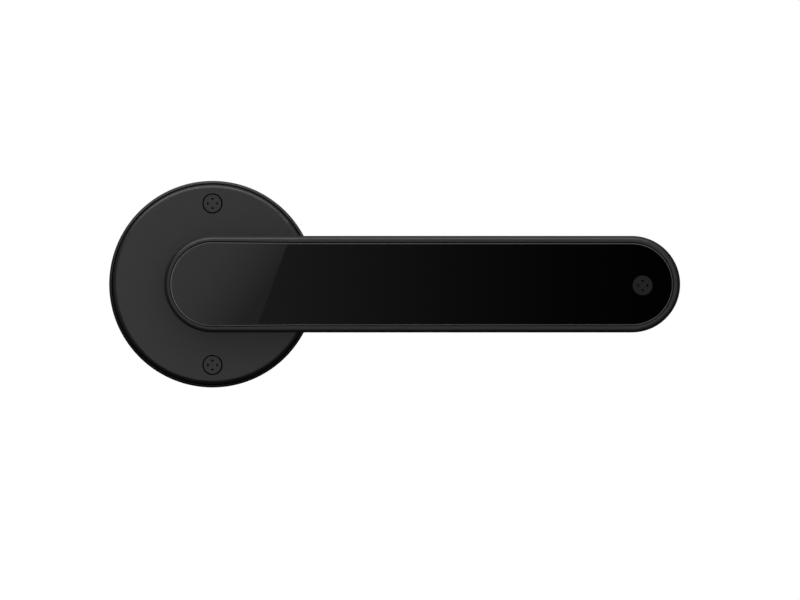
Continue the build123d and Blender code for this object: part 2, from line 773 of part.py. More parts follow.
save(battery_holder, "battery_holder")

# cells: four round cells, the lower row turned end for end
cell_start = HOLDER_X0 + 2.6
with BuildPart() as battery_cells:
    for index in range(4):
        row = 1 if index < 2 else -1
        first_x = cell_start + (index % 2) * (CELL_L + CELL_NUB + 0.1)
        nub_x = first_x + CELL_L if row == 1 else first_x
        body_x = first_x if row == 1 else first_x + CELL_NUB
        with BuildSketch(Plane.YZ.offset(body_x)):
            with Locations((-CELL_OUT, row * CELL_Z)):
                Circle(CELL_R)
        extrude(amount=CELL_L)
        with BuildSketch(Plane.YZ.offset(nub_x)):
            with Locations((-CELL_OUT, row * CELL_Z)):
                Circle(1.9)
        extrude(amount=CELL_NUB)
save(battery_cells, "battery_cells")

# battery contacts: a plate behind each row's end and one bridge at the far end
cell_end = cell_start + 2 * (CELL_L + CELL_NUB) + 0.1
with BuildPart() as battery_contacts:
    with BuildSketch(Plane.YZ.offset(HOLDER_X0 + 1.2)):
        with Locations((-CELL_OUT + 0.8, CELL_Z), (-CELL_OUT + 0.8, -CELL_Z)):
            Rectangle(7.0, 7.6)
    extrude(amount=0.4)
    with BuildSketch(Plane.YZ.offset(HOLDER_X0 + 1.6)):
        with Locations((-CELL_OUT, CELL_Z), (-CELL_OUT, -CELL_Z)):
            Circle(2.4)
            Circle(1.5, mode=Mode.SUBTRACT)
    extrude(amount=cell_start - HOLDER_X0 - 1.6)
    with BuildSketch(Plane.YZ.offset(HOLDER_X1 - 1.6)):
        with Locations((-CELL_OUT + 0.8, 0)):
            Rectangle(7.0, 19.0)
    extrude(amount=0.4)
    with BuildSketch(Plane.YZ.offset(cell_end)):
        with Locations((-CELL_OUT, CELL_Z), (-CELL_OUT, -CELL_Z)):
            Circle(2.4)
            Circle(1.5, mode=Mode.SUBTRACT)
    extrude(amount=HOLDER_X1 - 1.6 - cell_end)
save(battery_contacts, "battery_contacts")

# battery leads: two wires from the contacts to the controller board
with BuildPart() as battery_leads:
    with BuildSketch(out(46.9)):
        with Locations((34.6, 3.2), (34.6, -3.2)):
            Circle(0.5)
    extrude(amount=3.0)
    with BuildSketch(Plane.YZ.offset(32.4)):
        with Locations((-49.5, 3.2), (-49.5, -3.2)):
            Circle(0.5)
    extrude(amount=2.2)
    with BuildSketch(Plane.YZ.offset(34.6)):
        with Locations((-46.9, 3.2), (-46.9, -3.2)):
            Circle(0.5)
    extrude(amount=2.6)
save(battery_leads, "battery_leads")
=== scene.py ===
"""Keypad smart lock: finishes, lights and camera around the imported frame.

Lengths are in metres unless a name ends in _mm.  +Z is up, the door face is the plane y = 0 and the
lock stands out from it towards -Y.  The lever points along +X.
"""

import json
import logging
import math
from dataclasses import dataclass, field
from enum import Enum
from typing import Any, Iterable, Optional, Union

import bpy
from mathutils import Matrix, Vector

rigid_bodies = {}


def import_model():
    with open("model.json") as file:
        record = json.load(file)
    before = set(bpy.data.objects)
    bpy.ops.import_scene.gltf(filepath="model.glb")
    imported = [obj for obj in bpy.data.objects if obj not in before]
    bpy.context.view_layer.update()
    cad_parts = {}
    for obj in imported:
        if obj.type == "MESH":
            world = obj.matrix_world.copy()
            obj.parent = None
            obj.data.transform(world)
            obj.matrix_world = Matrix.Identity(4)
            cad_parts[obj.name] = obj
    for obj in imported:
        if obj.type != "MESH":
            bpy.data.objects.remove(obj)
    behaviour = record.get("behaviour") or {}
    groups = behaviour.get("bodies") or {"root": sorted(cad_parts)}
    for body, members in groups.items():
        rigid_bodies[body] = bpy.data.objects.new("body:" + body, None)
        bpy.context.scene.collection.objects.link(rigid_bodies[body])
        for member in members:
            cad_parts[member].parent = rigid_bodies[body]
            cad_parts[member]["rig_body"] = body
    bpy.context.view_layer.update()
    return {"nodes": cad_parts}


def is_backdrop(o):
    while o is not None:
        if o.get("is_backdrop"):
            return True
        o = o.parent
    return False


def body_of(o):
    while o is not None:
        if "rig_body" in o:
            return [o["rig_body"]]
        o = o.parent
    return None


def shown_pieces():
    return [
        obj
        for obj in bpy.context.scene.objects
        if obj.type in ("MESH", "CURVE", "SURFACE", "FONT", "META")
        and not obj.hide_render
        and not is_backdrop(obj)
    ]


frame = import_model()

LOG = logging.getLogger("keypad_lock")
MM = 0.001
MIDDLE = 0.5  # middle of a grain's range
Colour = tuple[float, float, float]
Point = tuple[float, float, float]
Band = tuple[float, float]
Levels = tuple[tuple[float, float], ...]


class Op(Enum):
    """Math node operations used by the finishes."""

    ADD = "ADD"
    SUBTRACT = "SUBTRACT"
    MULTIPLY = "MULTIPLY"
    DIVIDE = "DIVIDE"
    MINIMUM = "MINIMUM"
    MAXIMUM = "MAXIMUM"
    ABSOLUTE = "ABSOLUTE"
    FRACT = "FRACT"
    SQRT = "SQRT"


class Wire:
    """One value or vector output, with operators that add Math nodes."""

    def __init__(self, tree: "Tree", socket: bpy.types.NodeSocket) -> None:
        """Wrap a socket.

        Args:
            tree: the shader tree that owns the socket.
            socket: the output socket to wrap.
        """
        self.tree = tree
        self.socket = socket

    def math(self, op: Op, *others: Union["Wire", float], swap: bool = False) -> "Wire":
        """Add a Math node that reads this value.

        Args:
            op: the operation.
            *others: the other inputs, in order.
            swap: put this value second.

        Returns:
            The node's result.
        """
        values = [self, *others]
        if swap:
            values.reverse()
        inputs = dict(enumerate(values))
        return self.tree.node("ShaderNodeMath", {"operation": op.value}, inputs)

    def __add__(self, other: Union["Wire", float]) -> "Wire":
        """Sum."""
        return self.math(Op.ADD, other)

    __radd__ = __add__

    def __sub__(self, other: Union["Wire", float]) -> "Wire":
        """Difference."""
        return self.math(Op.SUBTRACT, other)

    def __rsub__(self, other: float) -> "Wire":
        """Difference from a number."""
        return self.math(Op.SUBTRACT, other, swap=True)

    def __mul__(self, other: Union["Wire", float]) -> "Wire":
        """Product."""
        return self.math(Op.MULTIPLY, other)

    __rmul__ = __mul__

    def __truediv__(self, other: Union["Wire", float]) -> "Wire":
        """Quotient."""
        return self.math(Op.DIVIDE, other)

    def __abs__(self) -> "Wire":
        """Size without sign."""
        return self.math(Op.ABSOLUTE)

    def low(self, other: Union["Wire", float]) -> "Wire":
        """The smaller of the two."""
        return self.math(Op.MINIMUM, other)

    def high(self, other: Union["Wire", float]) -> "Wire":
        """The larger of the two."""
        return self.math(Op.MAXIMUM, other)

    def step(self, start: float, end: float) -> "Wire":
        """Smooth rise from 0 at start to 1 at end.

        Args:
            start: value that gives 0.
            end: value that gives 1.

        Returns:
            The smoothed share.
        """
        settings = {"interpolation_type": "SMOOTHSTEP"}
        ends = {0: self, 1: start, 2: end, 3: 0.0, 4: 1.0}
        if start > end:
            ends = {0: self, 1: end, 2: start, 3: 1.0, 4: 0.0}
        return self.tree.node("ShaderNodeMapRange", settings, ends)


@dataclass
class Tree:
    """A shader tree being built, of a material or of the world."""

    owner: Union[bpy.types.Material, bpy.types.World]

    def __post_init__(self) -> None:
        """Clear the tree."""
        self.owner.use_nodes = True
        self.nodes = self.owner.node_tree.nodes
        self.links = self.owner.node_tree.links
        self.nodes.clear()

    def node(
        self,
        kind: str,
        settings: Optional[dict[str, Any]] = None,
        inputs: Optional[dict[Union[int, str], Any]] = None,
        output: Union[int, str] = 0,
    ) -> Wire:
        """Add any node.

        Args:
            kind: the node's type name.
            settings: its own settings, or a ramp's stops under "stops".
            inputs: numbers, colours or wires for its sockets, by index or name.
            output: which output to give back.

        Returns:
            The chosen output.
        """
        made = self.nodes.new(kind)
        for key, value in (settings or {}).items():
            if key == "stops":
                self._set_stops(made.color_ramp, value)
            else:
                setattr(made, key, value)
        for key, value in (inputs or {}).items():
            if isinstance(value, Wire):
                self.links.new(value.socket, made.inputs[key])
            else:
                made.inputs[key].default_value = value
        return Wire(self, made.outputs[output])

    @staticmethod
    def _set_stops(ramp: bpy.types.ColorRamp, stops: Iterable[tuple[float, Colour]]) -> None:
        """Fill a colour ramp.

        Args:
            ramp: the ramp.
            stops: pairs of place and colour.
        """
        for index, (place, colour) in enumerate(stops):
            element = ramp.elements[index] if index < 2 else ramp.elements.new(place)
            element.position = place
            element.color = (*colour, 1.0)

    def place(self) -> tuple[Wire, Wire, Wire]:
        """X, Y and Z of the shaded point in the lock's own frame, in millimetres."""
        at = self.node("ShaderNodeTexCoord", output="Object")
        scaled = self.node("ShaderNodeVectorMath", {"operation": "SCALE"}, {0: at, "Scale": 1 / MM})
        parts = self.node("ShaderNodeSeparateXYZ", inputs={0: scaled})
        return tuple(Wire(self, parts.socket.node.outputs[axis]) for axis in range(3))

    def grain(self, size_mm: float, detail: float = 2.0, stretch: Point = (1, 1, 1)) -> Wire:
        """Soft random grain from 0 to 1.

        Args:
            size_mm: size of one grain.
            detail: how many finer layers it has.
            stretch: how much longer the grain is along each axis.

        Returns:
            The grain's value.
        """
        at = self.node("ShaderNodeTexCoord", output="Object")
        scale = tuple(1 / (size_mm * MM * part) for part in stretch)
        moved = self.node("ShaderNodeMapping", inputs={"Vector": at, "Scale": scale})
        return self.node("ShaderNodeTexNoise", inputs={"Vector": moved, "Scale": 1.0, "Detail": detail})

    def mix(self, share: Union[Wire, float], first: Any, second: Any) -> Wire:
        """Blend two colours.

        Args:
            share: 0 gives the first, 1 the second.
            first: a colour or wire.
            second: a colour or wire.

        Returns:
            The blended colour.
        """
        colours = [(*c, 1.0) if isinstance(c, tuple) else c for c in (first, second)]
        settings = {"data_type": "RGBA", "clamp_factor": True}
        return self.node("ShaderNodeMix", settings, {0: share, 6: colours[0], 7: colours[1]}, output=2)

    def bump(self, height: Wire, depth_mm: float, strength: float = 1.0) -> Wire:
        """Normal from a height.

        Args:
            height: 0 to 1.
            depth_mm: real depth of a height of 1.
            strength: share of the effect.

        Returns:
            The bumped normal.
        """
        inputs = {"Strength": strength, "Distance": depth_mm * MM, "Height": height}
        return self.node("ShaderNodeBump", inputs=inputs)

    def facing(self, axis: int) -> Wire:
        """One part of the surface's own direction: 0, 1 or 2 for X, Y or Z."""
        normal = self.node("ShaderNodeTexCoord", output="Normal")
        parts = self.node("ShaderNodeSeparateXYZ", inputs={0: normal})
        return Wire(self, parts.socket.node.outputs[axis])

    def ramp(self, along: Wire, levels: Levels) -> Wire:
        """Neutral colour that changes along a value.

        Args:
            along: the value, from 0 to 1.
            levels: pairs of place and brightness.

        Returns:
            The colour.
        """
        stops = [(place, (level, level, level)) for place, level in levels]
        return self.node("ShaderNodeValToRGB", {"stops": stops}, {0: along})

    def surface(self, fixed: dict[str, Any], varied: dict[str, Any]) -> None:
        """End the tree in a Principled shader.

        Args:
            fixed: numbers and colours set on its sockets.
            varied: wires for the sockets that change over the surface.
        """
        shader = self.node("ShaderNodeBsdfPrincipled", inputs={**fixed, **varied})
        self.node_output("ShaderNodeOutputMaterial", shader)

    def node_output(self, kind: str, shader: Wire) -> None:
        """Join a shader to an output node of this kind."""
        out = self.nodes.new(kind)
        self.links.new(shader.socket, out.inputs["Surface"])


def shade(colour: Colour, factor: float, lift: float = 0.0) -> Colour:
    """A colour made darker or lighter.

    Args:
        colour: the colour.
        factor: what each part is multiplied by.
        lift: what is added to each part.

    Returns:
        The new colour, with no part above 1.
    """
    return tuple(min(1.0, part * factor + lift) for part in colour)


def round_distance(tree: Tree) -> Wire:
    """Distance from the turning axis in millimetres."""
    x, _, z = tree.place()
    return (x * x + z * z).math(Op.SQRT)


def arm_distance(tree: Tree, length_mm: float) -> Wire:
    """Distance from the lever's middle line in millimetres.

    Args:
        tree: the tree to build in.
        length_mm: length of the middle line from the turning axis.

    Returns:
        The distance, measured across the lever's face.
    """
    x, _, z = tree.place()
    past = x - x.high(0.0).low(length_mm)
    return (past * past + z * z).math(Op.SQRT)


@dataclass(frozen=True)
class Finish:
    """A named surface finish; each kind below says how it is built."""

    name: str

    def material(self) -> bpy.types.Material:
        """Build the finish once and return its material."""
        made = bpy.data.materials.new(self.name + "_finish")
        self.build(Tree(made))
        return made

    def build(self, tree: Tree) -> None:
        """Fill the tree; each finish has its own."""
        raise NotImplementedError


class EdgeLine(Enum):
    """Which outline an enamelled piece wears along."""

    ROUND = "round"
    ARM = "arm"


@dataclass(frozen=True)
class Enamel(Finish):
    """Fine dark enamel on cast metal, a touch smoother where hands rub the edge.

    Grooves and drilled holes between hollow_floor_mm and hollow_mm out from the door, and as near the
    middle as hollow_reach_mm, get painted shade: near black, metallic and fully rough, for the shade in
    them.
    """

    colour: Colour
    line: EdgeLine
    edge_mm: float
    hollow_mm: float
    hollow_floor_mm: float = 0.0
    hollow_reach_mm: float = 400.0
    arm_mm: float = 132.22
    roughness: float = 0.40
    cloud_mm: float = 22.0
    cloud_rough: float = 0.05
    speck_mm: float = 0.28
    speck_depth_mm: float = 0.004
    speck_peaks: Band = (0.55, 0.75)
    speck_share: float = 0.25
    speck_rough: float = 0.08
    rub_mm: float = 1.6
    rub_patch_mm: float = 4.0
    rub_patches: Band = (0.42, 0.66)
    rub_share: float = 0.30
    rub_rough: float = 0.05
    ior: float = 1.5
    # painted shade colour for the grooves and holes
    painted_shade_colour: Colour = (0.0012, 0.0012, 0.0013)

    def build(self, tree: Tree) -> None:
        """Fill the tree."""
        away = round_distance(tree) if self.line is EdgeLine.ROUND else arm_distance(tree, self.arm_mm)
        cloud = tree.grain(self.cloud_mm, 3.0)
        speck = tree.grain(self.speck_mm, 3.0)
        patches = tree.grain(self.rub_patch_mm, 4.0).step(*self.rub_patches)
        rub = away.step(self.edge_mm - self.rub_mm, self.edge_mm) * patches
        lighter = shade(self.colour, 1.10)
        base = tree.mix(cloud, shade(self.colour, 0.92), lighter)
        base = tree.mix(speck.step(*self.speck_peaks) * self.speck_share, base, lighter)
        base = tree.mix(rub * self.rub_share, base, shade(self.colour, 1.45))
        # Painted shade: grooves and holes go near black, metallic and fully rough, standing in for the
        # shade that falls in them.
        painted_shade_mask = self.painted_recess_shade(tree, away)
        base = tree.mix(painted_shade_mask, base, self.painted_shade_colour)
        rough = self.roughness + (cloud - MIDDLE) * self.cloud_rough
        rough = rough + (speck - MIDDLE) * self.speck_rough - rub * self.rub_rough
        rough = rough.high(painted_shade_mask)
        normal = tree.bump(speck, self.speck_depth_mm, 0.5)
        tree.surface(
            {"IOR": self.ior},
            {"Base Color": base, "Roughness": rough, "Normal": normal, "Metallic": painted_shade_mask},
        )

    def painted_recess_shade(self, tree: Tree, away: Wire) -> Wire:
        """Where the painted shade goes.

        Args:
            tree: the tree to build in.
            away: distance from the outline's middle.

        Returns:
            1 in the grooves and holes, 0 elsewhere.
        """
        _, y, _ = tree.place()
        under = y.step(-self.hollow_mm - 0.05, -self.hollow_mm + 0.15)
        over = y.step(-self.hollow_floor_mm + 0.10, -self.hollow_floor_mm - 0.05)
        return under * over * away.step(self.hollow_reach_mm, self.hollow_reach_mm - 0.02)


@dataclass(frozen=True)
class PanelGlass(Finish):
    """Polished glass printed black behind, with a ground bevel whose colour holds painted light by the
    side it faces, and the faintest finger film.
    """

    colour: Colour = (0.0004, 0.0004, 0.0005)
    # painted light: the ground bevel's colour for each side it faces
    bevel_right_painted_light: Colour = (0.14, 0.142, 0.145)
    bevel_left_painted_light: Colour = (0.24, 0.243, 0.25)
    bevel_above_painted_light: Colour = (0.115, 0.1165, 0.119)
    bevel_below_painted_light: Colour = (0.42, 0.424, 0.43)
    bevel_rough: float = 0.30
    grit_mm: float = 0.2
    grit_rough: float = 0.08
    polish: float = 0.006
    film_mm: float = 9.0
    film_patches: Band = (0.55, 0.80)
    film_rough: float = 0.006

    def build(self, tree: Tree) -> None:
        """Fill the tree."""
        forward = 0.0 - tree.facing(1)
        ground = forward.step(0.97, 0.80) * forward.step(0.2, 0.5)
        # Painted light: the bevel is lightest facing down, then facing left, darker facing right and
        # darkest facing up, for how the light falls on it.
        left = (0.0 - tree.facing(0)).step(-0.7, 0.7)
        above = tree.facing(2).step(0.0, 0.7)
        below = (0.0 - tree.facing(2)).step(0.0, 0.7)
        film = tree.grain(self.film_mm, 4.0).step(*self.film_patches)
        grit = tree.grain(self.grit_mm, 2.0)
        bevel = tree.mix(left, self.bevel_right_painted_light, self.bevel_left_painted_light)
        bevel = tree.mix(above, bevel, self.bevel_above_painted_light)
        bevel = tree.mix(below, bevel, self.bevel_below_painted_light)
        base = tree.mix(ground, self.colour, bevel)
        rough = self.polish + film * self.film_rough + ground * (self.bevel_rough + self.grit_rough * grit)
        tree.surface({"IOR": 1.5, "Metallic": 0.0}, {"Base Color": base, "Roughness": rough})


class Lay(Enum):
    """Direction of a metal's tool marks."""

    TURNED = "turned"
    DRAWN = "drawn"
    TUMBLED = "tumbled"


@dataclass(frozen=True)
class Metal(Finish):
    """Bare or plated metal with tool marks."""

    colour: Colour
    roughness: float
    lay: Lay
    mark_mm: float = 0.15
    depth_mm: float = 0.006
    tarnish: Colour = (0.20, 0.17, 0.14)
    tarnish_share: float = 0.12
    tarnish_patches: Band = (0.55, 0.80)
    cloud_mm: float = 3.5
    cloud_rough: float = 0.10
    mark_rough: float = 0.16

    def marks(self, tree: Tree) -> Wire:
        """Tool marks from 0 to 1 in this metal's direction."""
        if self.lay is Lay.TURNED:
            return tree.grain(self.mark_mm, 2.0, (6.0, 1.0, 6.0))
        if self.lay is Lay.DRAWN:
            return tree.grain(self.mark_mm, 2.0, (1.0, 40.0, 1.0))
        return tree.grain(self.mark_mm * 3, 4.0)

    def build(self, tree: Tree) -> None:
        """Fill the tree."""
        marks = self.marks(tree)
        cloud = tree.grain(self.cloud_mm, 4.0)
        base = tree.mix(marks, shade(self.colour, 0.80), self.colour)
        base = tree.mix(cloud.step(*self.tarnish_patches) * self.tarnish_share, base, self.tarnish)
        rough = self.roughness + (marks - MIDDLE) * self.mark_rough + (cloud - MIDDLE) * self.cloud_rough
        tree.surface(
            {"Metallic": 1.0},
            {"Base Color": base, "Roughness": rough, "Normal": tree.bump(marks, self.depth_mm, 0.6)},
        )


@dataclass(frozen=True)
class Moulded(Finish):
    """Moulded plastic or rubber with a spark-eroded skin and a little dust."""

    colour: Colour
    roughness: float
    skin_mm: float = 0.25
    depth_mm: float = 0.010
    dust: float = 0.06
    dust_colour: Colour = (0.30, 0.29, 0.27)
    dust_patches: Band = (0.58, 0.85)
    cloud_mm: float = 6.0
    cloud_rough: float = 0.08
    skin_rough: float = 0.14

    def build(self, tree: Tree) -> None:
        """Fill the tree."""
        skin = tree.grain(self.skin_mm, 3.0)
        cloud = tree.grain(self.cloud_mm, 3.0)
        base = tree.mix(cloud, shade(self.colour, 0.86), shade(self.colour, 1.12, 0.004))
        base = tree.mix(cloud.step(*self.dust_patches) * self.dust, base, self.dust_colour)
        rough = self.roughness + (skin - MIDDLE) * self.skin_rough + (cloud - MIDDLE) * self.cloud_rough
        tree.surface(
            {"Metallic": 0.0},
            {"Base Color": base, "Roughness": rough, "Normal": tree.bump(skin, self.depth_mm, 0.6)},
        )


@dataclass(frozen=True)
class CircuitBoard(Finish):
    """Solder mask over copper tracks, with tinned pads in a grid."""

    mask: Colour = (0.010, 0.075, 0.030)
    track: Colour = (0.020, 0.135, 0.050)
    pad: Colour = (0.62, 0.60, 0.55)
    pitch_mm: float = 2.54
    track_mm: float = 1.1
    track_edge: Band = (0.14, 0.10)
    bend_mm: float = 9.0
    bend_tracks: float = 3
    pad_edge: Band = (0.17, 0.14)
    pad_patch_mm: float = 5.0
    pad_patches: Band = (0.50, 0.52)
    relief_mm: float = 0.03
    roughness: float = 0.36
    mask_grain_mm: float = 0.3
    mask_rough: float = 0.10
    pad_polish: float = 0.12
    pad_metal: float = 0.9

    def build(self, tree: Tree) -> None:
        """Fill the tree."""
        x, _, z = tree.place()
        column = abs((x / self.pitch_mm).math(Op.FRACT) - MIDDLE)
        row = abs((z / self.pitch_mm).math(Op.FRACT) - MIDDLE)
        hole = (column * column + row * row).math(Op.SQRT)
        chosen = tree.grain(self.pad_patch_mm, 0.0).step(*self.pad_patches)
        pads = hole.step(*self.pad_edge) * chosen
        bent = z / self.track_mm + tree.grain(self.bend_mm, 0.0) * self.bend_tracks
        lines = abs(bent.math(Op.FRACT) - MIDDLE).step(*self.track_edge)
        base = tree.mix(lines, self.mask, self.track)
        base = tree.mix(pads, base, self.pad)
        matt = (tree.grain(self.mask_grain_mm, 2.0) - MIDDLE) * self.mask_rough
        rough = self.roughness + matt - pads * self.pad_polish
        tree.surface(
            {"IOR": 1.5},
            {
                "Base Color": base,
                "Roughness": rough,
                "Metallic": pads * self.pad_metal,
                "Normal": tree.bump(lines.high(pads), self.relief_mm, 0.7),
            },
        )


@dataclass(frozen=True)
class CellWrap(Finish):
    """Shrink film on round cells: a plain dark body and a copper-coloured end band."""

    colour: Colour = (0.030, 0.034, 0.045)
    band: Colour = (0.50, 0.26, 0.10)
    steel: Colour = (0.62, 0.62, 0.60)
    first_mm: float = 38.6
    pitch_mm: float = 44.6
    band_mm: float = 11.0
    wrap_mm: float = 43.4
    nub_mm: float = 0.8
    roughness: float = 0.24
    haze_mm: float = 1.2
    haze_rough: float = 0.12
    band_metal: float = 0.7
    wrinkle_mm: float = 0.8
    wrinkle_depth_mm: float = 0.02

    def build(self, tree: Tree) -> None:
        """Fill the tree."""
        x, _, z = tree.place()
        along = ((x - self.first_mm) / self.pitch_mm).math(Op.FRACT) * self.pitch_mm
        upper = z.step(-0.1, 0.1)
        from_plus = upper * (self.wrap_mm - along) + (1 - upper) * (along - self.nub_mm)
        band = from_plus.step(self.band_mm + 0.2, self.band_mm)
        ends = abs(tree.facing(0)).step(0.5, 0.7)
        base = tree.mix(band, self.colour, self.band)
        base = tree.mix(ends, base, self.steel)
        rough = self.roughness + tree.grain(self.haze_mm, 3.0) * self.haze_rough
        wrinkles = tree.grain(self.wrinkle_mm, 3.0, (8.0, 1.0, 1.0))
        tree.surface(
            {"IOR": 1.5},
            {
                "Base Color": base,
                "Roughness": rough,
                "Metallic": ends.high(band * self.band_metal),
                "Normal": tree.bump(wrinkles, self.wrinkle_depth_mm, 0.5),
            },
        )


@dataclass(frozen=True)
class Lamp(Finish):
    """Small clear lamp with a pale phosphor spot."""

    colour: Colour = (0.72, 0.72, 0.60)
    phosphor: Colour = (0.85, 0.70, 0.22)
    phosphor_mm: float = 0.5
    phosphor_patches: Band = (0.4, 0.7)
    roughness: float = 0.18
    phosphor_rough: float = 0.15

    def build(self, tree: Tree) -> None:
        """Fill the tree."""
        spot = tree.grain(self.phosphor_mm, 1.0)
        base = tree.mix(spot.step(*self.phosphor_patches), self.colour, self.phosphor)
        rough = self.roughness + spot * self.phosphor_rough
        tree.surface({"IOR": 1.45}, {"Base Color": base, "Roughness": rough})


@dataclass(frozen=True)
class FlatFilm(Finish):
    """Amber film cable with printed conductors along it."""

    colour: Colour = (0.36, 0.15, 0.02)
    copper: Colour = (0.60, 0.28, 0.12)
    pitch_mm: float = 1.0
    line_edge: Band = (0.32, 0.26)
    relief_mm: float = 0.02
    roughness: float = 0.28
    haze_mm: float = 0.6
    haze_rough: float = 0.12

    def build(self, tree: Tree) -> None:
        """Fill the tree."""
        _, _, z = tree.place()
        lines = abs((z / self.pitch_mm).math(Op.FRACT) - MIDDLE).step(*self.line_edge)
        base = tree.mix(lines, self.colour, self.copper)
        rough = self.roughness + tree.grain(self.haze_mm, 2.0) * self.haze_rough
        normal = tree.bump(lines, self.relief_mm, 0.6)
        tree.surface({"IOR": 1.5}, {"Base Color": base, "Roughness": rough, "Normal": normal})


ENAMEL: Colour = (0.018, 0.0182, 0.0190)
SCREW_BLACK: Colour = (0.010, 0.0101, 0.0108)
SCREW_SPECK_MM = 0.18

ZINC_PLATE = Metal("zinc_plate", (0.58, 0.58, 0.56), 0.36, Lay.DRAWN)
TURNED_STEEL = Metal("turned_steel", (0.55, 0.55, 0.54), 0.30, Lay.TURNED)
SPRING_STEEL = Metal("spring_steel", (0.24, 0.23, 0.22), 0.38, Lay.DRAWN)
CAST_ZINC = Metal("cast_zinc", (0.46, 0.46, 0.47), 0.46, Lay.TUMBLED)
NICKEL_PLATE = Metal("nickel_screw", (0.66, 0.64, 0.60), 0.26, Lay.TURNED)
BRASS = Metal("insert_brass", (0.72, 0.48, 0.16), 0.30, Lay.TURNED)
MOTOR_STEEL = Metal("motor_steel", (0.50, 0.50, 0.52), 0.28, Lay.DRAWN)
SEAL_RUBBER = Moulded("seal_rubber", (0.018, 0.018, 0.018), 0.72, 0.35, 0.015)
ACETAL = Moulded("bush_acetal", (0.60, 0.57, 0.50), 0.42)
TRAY_PLASTIC = Moulded("tray_plastic", (0.060, 0.062, 0.066), 0.50)
MASK_FILM = Moulded("mask_film", (0.008, 0.008, 0.008), 0.60, 0.15, 0.004)
CHIP_EPOXY = Moulded("chip_epoxy", (0.016, 0.016, 0.018), 0.48, 0.12, 0.006)
SILICONE = Moulded("lead_silicone", (0.34, 0.015, 0.012), 0.46, 0.20, 0.004)
SOLDER_MASK = CircuitBoard("solder_mask")


@dataclass
class PaintShop:
    """Makes each finish once, puts it on pieces and remembers which piece wears it."""

    materials: dict[Finish, bpy.types.Material] = field(default_factory=dict)
    worn: dict[str, Finish] = field(default_factory=dict)

    def put(self, finish: Finish, piece: bpy.types.Object) -> None:
        """Put a finish on every slot of a piece.

        Args:
            finish: the finish.
            piece: the piece to dress.
        """
        if finish not in self.materials:
            self.materials[finish] = finish.material()
        material = self.materials[finish]
        if not piece.material_slots:
            piece.data.materials.append(material)
        for spot in piece.material_slots:
            spot.material = material
        self.worn[piece.name] = finish

    def dark(self) -> set[str]:
        """Names of the pieces in enamel or black glass."""
        return {name for name, finish in self.worn.items() if isinstance(finish, (Enamel, PanelGlass))}


@dataclass
class SubAssembly:
    """Pieces of the lock that come apart together, with the finish of each."""

    nodes: dict[str, bpy.types.Object]
    shop: PaintShop

    def finishes(self) -> dict[Finish, tuple[str, ...]]:
        """Pieces that wear each finish; each sub-assembly has its own."""
        raise NotImplementedError

    def dress(self) -> None:
        """Dress the pieces and report each one."""
        for finish, names in self.finishes().items():
            for name in names:
                self.shop.put(finish, self.nodes[name])
                LOG.info("%s wears %s", name, finish.name)


@dataclass
class Rose(SubAssembly):
    """Round base on the door: plate, cover, bushes, stops and return spring."""

    cover_mm: float = 31.45
    cover_face_mm: float = 21.7
    recess_floor_mm: float = 19.0
    recess_reach_mm: float = 29.0
    plate_mm: float = 32.5
    plate_face_mm: float = 4.5
    groove_floor_mm: float = 3.2
    groove_reach_mm: float = 31.82
    plate_rough: float = 0.52
    unworn_mm: float = 40.0
    screw_face_mm: float = 21.75

    def finishes(self) -> dict[Finish, tuple[str, ...]]:
        """Enamel outside, steel, acetal and rubber inside."""
        # The cover's recesses and holes, the plate's groove and the screws' drive holes get painted shade.
        cover = Enamel(
            "rose_enamel",
            ENAMEL,
            EdgeLine.ROUND,
            self.cover_mm,
            self.cover_face_mm,
            self.recess_floor_mm,
            self.recess_reach_mm,
        )
        plate = Enamel(
            "plate_enamel",
            ENAMEL,
            EdgeLine.ROUND,
            self.plate_mm,
            self.plate_face_mm,
            self.groove_floor_mm,
            self.groove_reach_mm,
            roughness=self.plate_rough,
        )
        screws = Enamel(
            "screw_enamel",
            ENAMEL,
            EdgeLine.ROUND,
            self.unworn_mm,
            self.screw_face_mm,
            speck_mm=SCREW_SPECK_MM,
        )
        return {
            cover: ("rose_cover",),
            plate: ("mounting_plate",),
            screws: ("rose_screws",),
            ZINC_PLATE: ("bolt_posts", "stop_pins"),
            TURNED_STEEL: ("spring_anchor_pin",),
            SPRING_STEEL: ("return_spring",),
            SEAL_RUBBER: ("door_gasket", "neck_seal"),
            ACETAL: ("neck_bush", "rear_bush"),
        }


@dataclass
class Lever(SubAssembly):
    """The arm and the neck that carries it through the rose."""

    edge_mm: float = 15.23
    face_mm: float = 54.7
    ledge_mm: float = 52.9
    pocket_mm: float = 13.6
    neck_mm: float = 12.0
    no_hollow_mm: float = -30.0

    def finishes(self) -> dict[Finish, tuple[str, ...]]:
        """Enamel on the arm and neck, bare metal on what holds them."""
        arm = Enamel(
            # The groove round the glass gets painted shade; the neck gets none.
            "lever_enamel",
            ENAMEL,
            EdgeLine.ARM,
            self.edge_mm,
            self.face_mm,
            self.ledge_mm,
            self.pocket_mm,
        )
        neck = Enamel("neck_enamel", ENAMEL, EdgeLine.ROUND, self.neck_mm, self.no_hollow_mm)
        return {
            arm: ("lever_shell",),
            neck: ("neck_sleeve",),
            TURNED_STEEL: ("thrust_washer",),
            SPRING_STEEL: ("retaining_ring",),
            CAST_ZINC: ("drive_collar",),
            NICKEL_PLATE: ("neck_screws",),
            BRASS: ("tip_insert",),
        }


